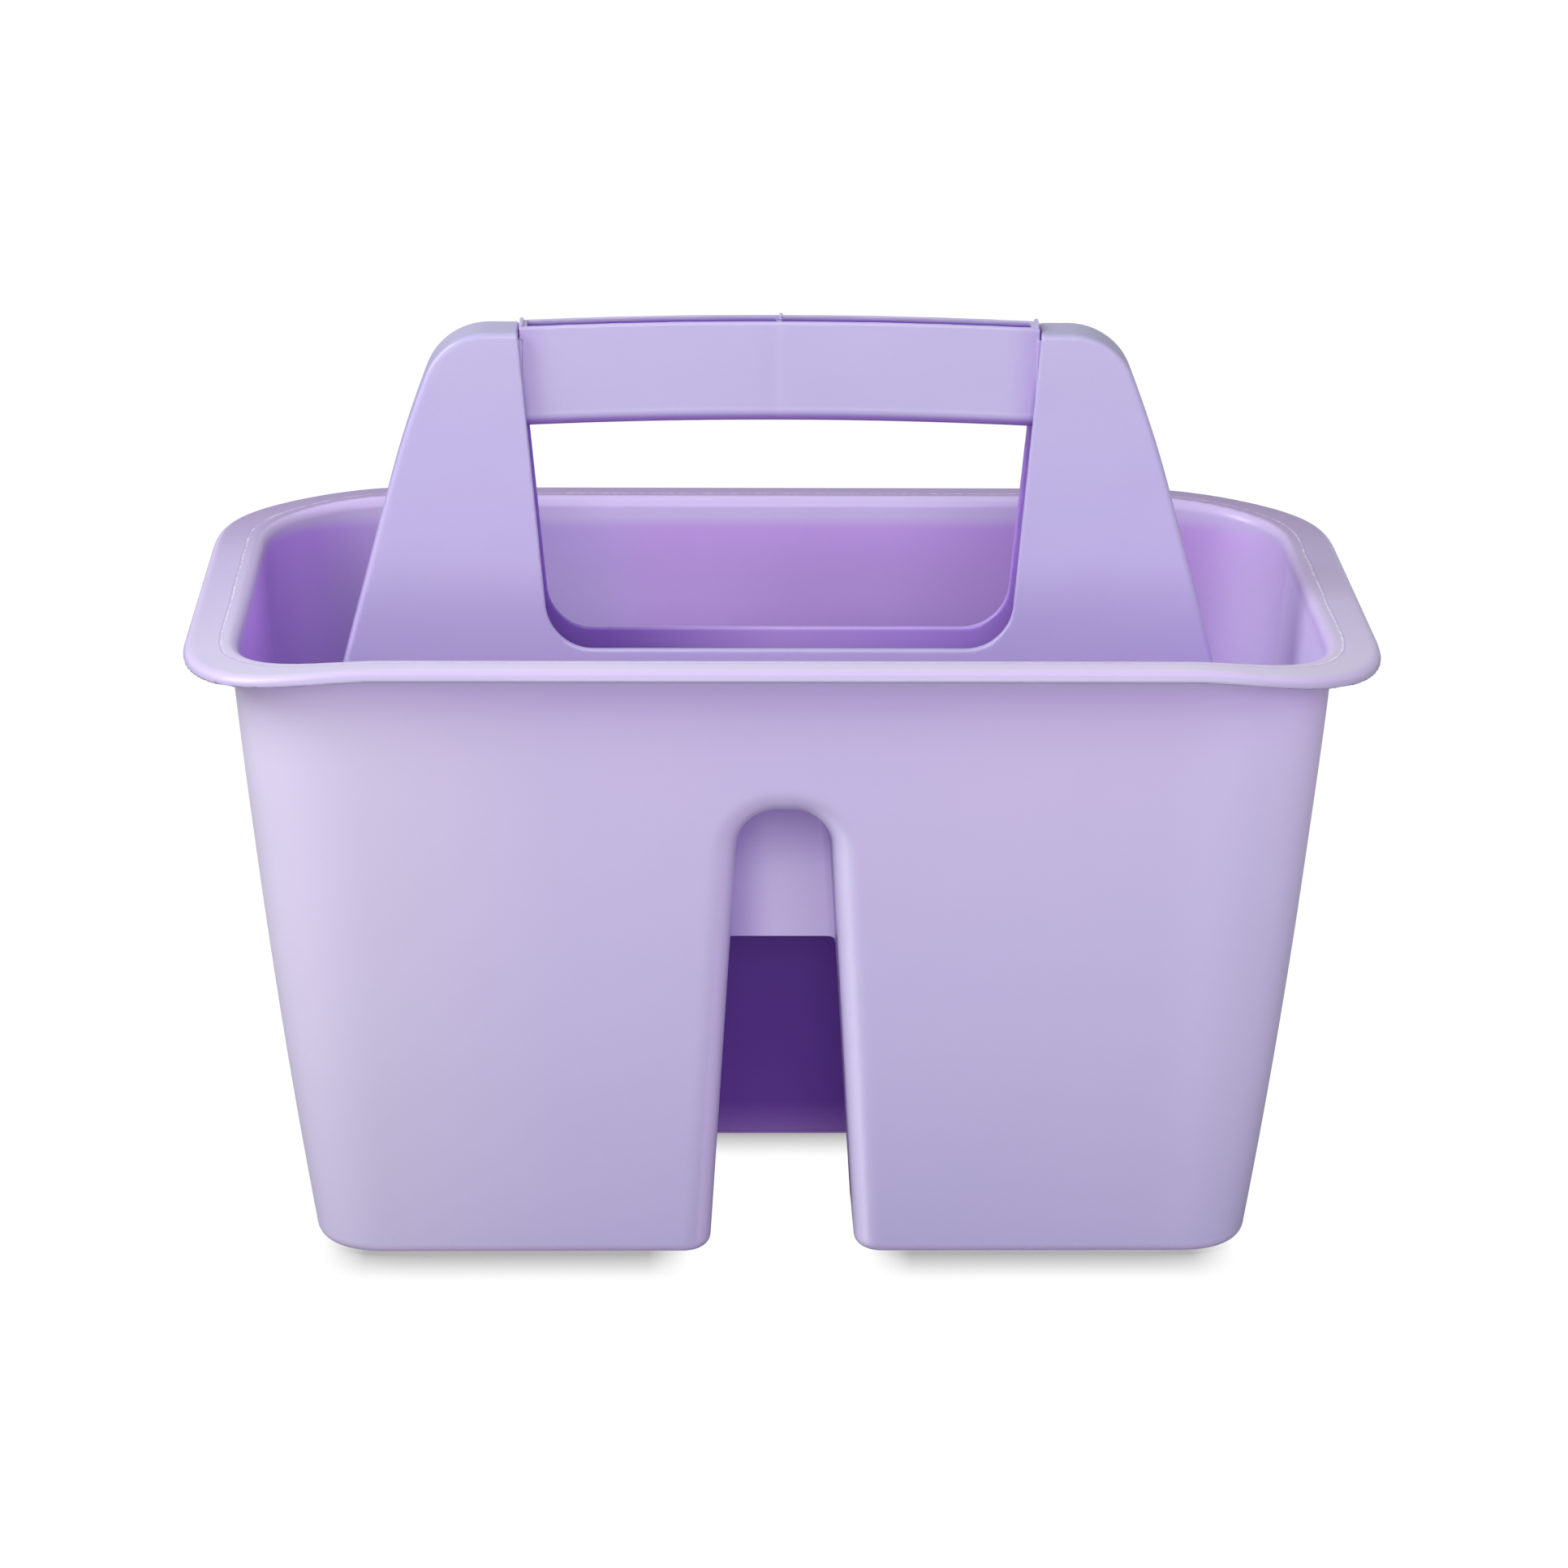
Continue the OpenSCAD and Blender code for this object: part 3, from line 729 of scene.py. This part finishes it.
def plastic(name, seed):
    material = bpy.data.materials.new(name)
    g = Nodes(material)
    out = g.new("OutputMaterial")
    surface = g.new("BsdfPrincipled", IOR=1.49, Emission_Color=GLOW)
    g.put(out.inputs[0], surface.outputs[0])
    coords = g.new("TexCoord")
    mapping = g.new("Mapping", Vector=coords.outputs["Object"],
                    Location=(seed, seed * 0.7, seed * 1.3))
    vector = mapping.outputs[0]
    # pigment clouds: two lilacs that barely differ
    cloud = g.ramp(g.noise(vector, scale=9.0, detail=2.5), over=(0.38, 0.66))
    colour = g.mix(cloud, LILAC, BLUSH)
    # painted light and shade: the colour multiplied by the per-vertex shading tint
    colour = g.mix(1.0, colour, g.attribute("shading_tint", "Color"), "MULTIPLY")
    # painted highlight and shade at the crease where the flat flange meets its inner rounding: a
    # fine broken pale line, dark along one side
    crease = g.attribute("crease")
    wobble = g.ramp(g.noise(vector, scale=60.0, detail=2.0), over=(0.3, 0.7), to=(-0.25, 0.25))
    offset = g.math("ADD", crease, wobble)
    line = g.ramp(g.math("ABSOLUTE", offset, 0.0), over=(0.10, 0.38), to=(1.0, 0.0))
    dots = g.ramp(g.noise(vector, scale=420.0, detail=2.0), over=(0.40, 0.62), to=(0.15, 1.0))
    line = g.math("MULTIPLY", line, dots)
    colour = g.mix(g.math("MULTIPLY", line, 0.6), colour, CREASE_HIGHLIGHT)
    beside = g.math("ABSOLUTE", g.math("SUBTRACT", offset, 0.42), 0.0)
    dark = g.ramp(beside, over=(0.08, 0.30), to=(0.45, 0.0))
    colour = g.mix(dark, colour, CREASE_SHADE)
    # light that has already met the plastic comes back deeper in colour
    path = g.new("LightPath")
    bounced = g.math("MINIMUM", path.outputs["Diffuse Depth"], 1.0)
    g.put(surface.inputs["Base Color"], g.mix(bounced, colour, DEEP))
    # satin gloss, uneven in soft patches, with duller specks
    patches = g.noise(vector, scale=24.0, detail=4.0, rough=0.6)
    soft = g.ramp(patches, over=(0.3, 0.7), to=(ROUGH - 0.05, ROUGH + 0.07))
    specks = g.noise(vector, scale=700.0, detail=2.0, rough=0.6)
    specks = g.ramp(specks, over=(0.62, 0.72), to=(0.0, 0.12))
    g.put(surface.inputs["Roughness"], g.math("ADD", soft, specks))
    # slow waves in the walls, fine orange peel, and a step at the crease
    wave = g.new("Bump", Strength=0.25, Distance=0.0014,
                 Height=g.noise(vector, scale=30.0, detail=1.5))
    peel = g.new("Bump", Strength=0.10, Distance=0.0003,
                 Height=g.noise(vector, scale=850.0, detail=3.0), Normal=wave.outputs[0])
    step = g.new("Bump", Strength=0.35, Distance=0.0003,
                 Height=g.ramp(offset, over=(-0.3, 0.3)), Normal=peel.outputs[0])
    g.put(surface.inputs["Normal"], step.outputs[0])
    # painted light: the glow attribute sets how strongly the plastic glows
    g.put(surface.inputs["Emission Strength"], g.attribute("glow"))
    return material


for seed, (part, piece) in zip((1.7, 5.1, 9.3), pieces.items()):
    piece.data.materials.append(plastic("lilac_" + part, seed))
    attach(piece, "root")


# ---------------------------------------------------------------- stage (m)
WHITE = (1, 1, 1, 1)
BACKDROP = 1.02                          # brightness the camera sees in floor and world
WORLD_LIGHT = 0.58


def floor_white():
    material = bpy.data.materials.new("floor_white")
    g = Nodes(material)
    out = g.new("OutputMaterial")
    path = g.new("LightPath")
    camera_ray = path.outputs["Is Camera Ray"]
    # contact shadow, gathered toward the back and above
    ao = g.new("AmbientOcclusion", Distance=0.018, Normal=(0.0, 0.86, 0.51))
    ao.samples = 16
    dark = g.ramp(ao.outputs["AO"], over=(0.40, 0.97), to=(0.58, 0.0))
    # only under the front on each side of the notch, and behind the notch
    where = g.new("SeparateXYZ", Vector=g.new("NewGeometry").outputs["Position"])
    far = g.math("ABSOLUTE", where.outputs[0], 0.0)
    pods = g.math("MULTIPLY", g.ramp(far, over=(0.023, 0.034)),
                  g.ramp(far, over=(0.107, 0.119), to=(1.0, 0.0)))
    behind = g.math("MULTIPLY", g.ramp(where.outputs[1], over=(-0.008, 0.004)),
                    g.ramp(far, over=(0.05, 0.06), to=(1.0, 0.0)))
    dark = g.math("MULTIPLY", dark, g.math("MAXIMUM", pods, behind))
    # the camera sees white, other rays a grey card
    white = g.new("Emission", Color=WHITE, Strength=g.math("SUBTRACT", BACKDROP, dark))
    card = g.new("BsdfDiffuse", Color=(0.30, 0.30, 0.31, 1))
    seen = g.new("MixShader")
    for socket, value in enumerate((camera_ray, card.outputs[0], white.outputs[0])):
        g.put(seen.inputs[socket], value)
    # clear from below and to rays that start just above it, so the underside can be seen
    geometry = g.new("NewGeometry")
    clear = g.new("BsdfTransparent")
    under = g.new("MixShader")
    below = g.math("MULTIPLY", geometry.outputs["Backfacing"], camera_ray)
    close = g.math("MULTIPLY", g.math("LESS_THAN", path.outputs["Ray Length"], 0.0012),
                   g.math("SUBTRACT", 1.0, camera_ray))
    hidden = g.math("MAXIMUM", below, close)
    for socket, value in enumerate((hidden, seen.outputs[0], clear.outputs[0])):
        g.put(under.inputs[socket], value)
    g.put(out.inputs[0], under.outputs[0])
    return material


bpy.ops.mesh.primitive_plane_add(size=14, location=(0, 2.0, -0.0002))
floor = bpy.context.object
floor.name = "floor"
floor.data.materials.append(floor_white())

scene = bpy.context.scene
scene.view_settings.view_transform = "Standard"
scene.view_settings.look = "None"

scene.world = bpy.data.worlds.new("studio")
g = Nodes(scene.world)
out = g.new("OutputWorld")
path = g.new("LightPath")
strength = g.ramp(path.outputs["Is Camera Ray"], over=(0.0, 1.0), to=(WORLD_LIGHT, BACKDROP))
background = g.new("Background", Color=WHITE, Strength=strength)
g.put(out.inputs[0], background.outputs[0])

# name, place, width, height, watts
LIGHTS = (
    ("front", (0.1, -1.9, 0.75), 1.2, 0.9, 13.2),
    ("up_left", (-1.05, -0.30, 0.95), 0.8, 0.8, 15.2),
    ("right", (1.3, -1.0, 0.7), 1.0, 1.0, 2.6),
    ("low", (-0.2, -1.6, 0.18), 1.4, 0.3, 4.8),
    ("low_back", (0.4, 1.7, 0.32), 1.4, 0.4, 9.0),
)
LIGHT_TARGET = (0, 0, 0.12)
for name, place, width, height, watts in LIGHTS:
    light = bpy.data.lights.new(name, "AREA")
    light.energy = watts
    light.shape = "RECTANGLE"
    light.size = width
    light.size_y = height
    lamp = bpy.data.objects.new(name, light)
    scene.collection.objects.link(lamp)
    lamp.location = place
    aim = Vector(LIGHT_TARGET) - Vector(place)
    lamp.rotation_euler = aim.to_track_quat("-Z", "Y").to_euler()
    # the back light makes no streak on the rim
    lamp.visible_glossy = name != "low_back"

# ------------------------------------------------------------------- camera
CAMERA_AT = np.array([-31.1, -1322.6, 538.1]) / MM
yaw, pitch, roll = (math.radians(angle) for angle in (1.42, 18.0, -0.48))
forward = (math.sin(yaw) * math.cos(pitch), math.cos(yaw) * math.cos(pitch), -math.sin(pitch))
level_right = np.array([math.cos(yaw), -math.sin(yaw), 0.0])
level_up = np.array([math.sin(yaw) * math.sin(pitch), math.cos(yaw) * math.sin(pitch),
                     math.cos(pitch)])
right = level_right * math.cos(roll) - level_up * math.sin(roll)
up = level_right * math.sin(roll) + level_up * math.cos(roll)
lens = bpy.data.cameras.new("camera")
lens.sensor_width = 36.0
lens.lens = 120.95031
lens.clip_end = 30
camera = bpy.data.objects.new("camera", lens)
rows = [(right[i], up[i], -forward[i], CAMERA_AT[i]) for i in range(3)]
camera.matrix_world = Matrix((*rows, (0, 0, 0, 1)))
scene.collection.objects.link(camera)
scene.camera = camera
